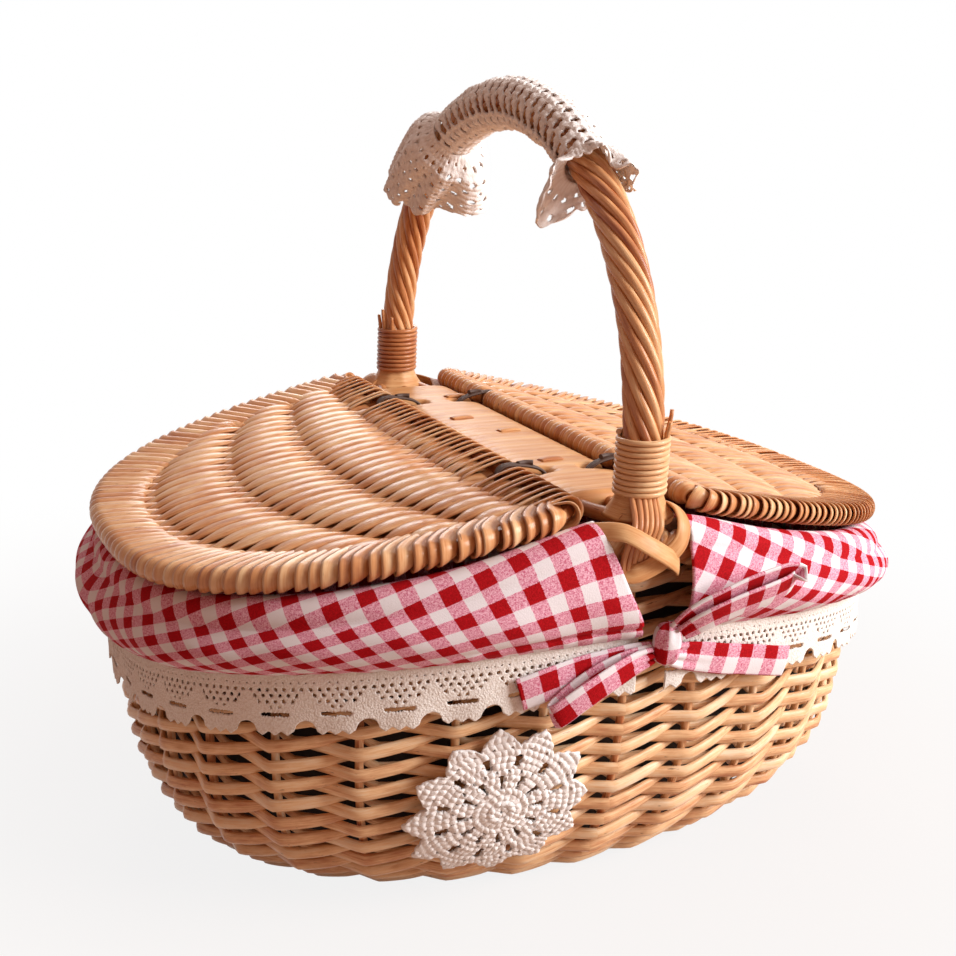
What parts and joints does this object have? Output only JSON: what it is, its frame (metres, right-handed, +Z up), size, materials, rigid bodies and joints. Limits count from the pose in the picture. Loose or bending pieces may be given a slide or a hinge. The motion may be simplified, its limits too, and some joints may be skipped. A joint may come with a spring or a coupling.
{
  "type": "picnic basket",
  "caption": "Oval woven willow picnic basket with two hinged lids, a fixed roped bow handle, a turned-over check liner with lace and bows, and crochet trim.",
  "frame": {"origin": "on the surface the basket stands on, under the middle of its box", "axes": "+X along the basket's length from the left lid to the right lid, +Y from the doily side to the far side, +Z up"},
  "size_m": [0.4088, 0.3336, 0.3621],
  "materials": {
    "willow": "peeled willow rods under a thin clear varnish",
    "brown_willow": "dark stained split willow",
    "gingham": "red and white checked cotton",
    "lace": "cream cotton lace",
    "crochet": "off-white crochet cotton"
  },
  "bodies": {
    "basket": {"base_panel": "willow", "foot_wale": "willow", "side_weave": "willow", "rim_border": "willow", "handle_rope": "willow", "handle_core": "willow", "front_whipping": "willow", "rear_whipping": "willow", "front_lashing_under": "willow", "front_lashing_over": "willow", "rear_lashing_under": "willow", "rear_lashing_over": "willow", "bridge_deck": "willow", "bridge_rod_left": "willow", "bridge_rod_middle": "willow", "bridge_rod_right": "willow", "left_hinge_tie_front": "brown_willow", "left_hinge_tie_rear": "brown_willow", "right_hinge_tie_front": "brown_willow", "right_hinge_tie_rear": "brown_willow", "liner_bag": "gingham", "liner_skirt_left": "gingham", "liner_skirt_right": "gingham", "lace_left": "lace", "lace_right": "lace", "front_bow_knot": "gingham", "front_bow_tail_left": "gingham", "front_bow_tail_right": "gingham", "front_bow_loop_left": "gingham", "front_bow_loop_right": "gingham", "rear_bow_knot": "gingham", "rear_bow_tail_left": "gingham", "rear_bow_tail_right": "gingham", "rear_bow_loop_left": "gingham", "rear_bow_loop_right": "gingham", "crochet_doily": "crochet", "grip_cover": "crochet", "grip_ruffle_front": "crochet", "grip_ruffle_rear": "crochet"},
    "left_lid": {"left_lid_weave": "willow", "left_lid_hoop": "willow", "left_lid_hinge_stick": "willow", "left_lid_rib_1": "willow", "left_lid_rib_2": "willow", "left_lid_rib_3": "willow"},
    "right_lid": {"right_lid_weave": "willow", "right_lid_hoop": "willow", "right_lid_hinge_stick": "willow", "right_lid_rib_1": "willow", "right_lid_rib_2": "willow", "right_lid_rib_3": "willow"}
  },
  "joints": [
    {"name": "left_lid_hinge", "type": "hinge", "parent": "basket", "child": "left_lid", "pos_m": [-0.032, 0, 0.18747], "axis": [0, 1, 0], "range_deg": [0, 100]},
    {"name": "right_lid_hinge", "type": "hinge", "parent": "basket", "child": "right_lid", "pos_m": [0.032, 0, 0.18747], "axis": [0, -1, 0], "range_deg": [0, 100]}
  ]
}
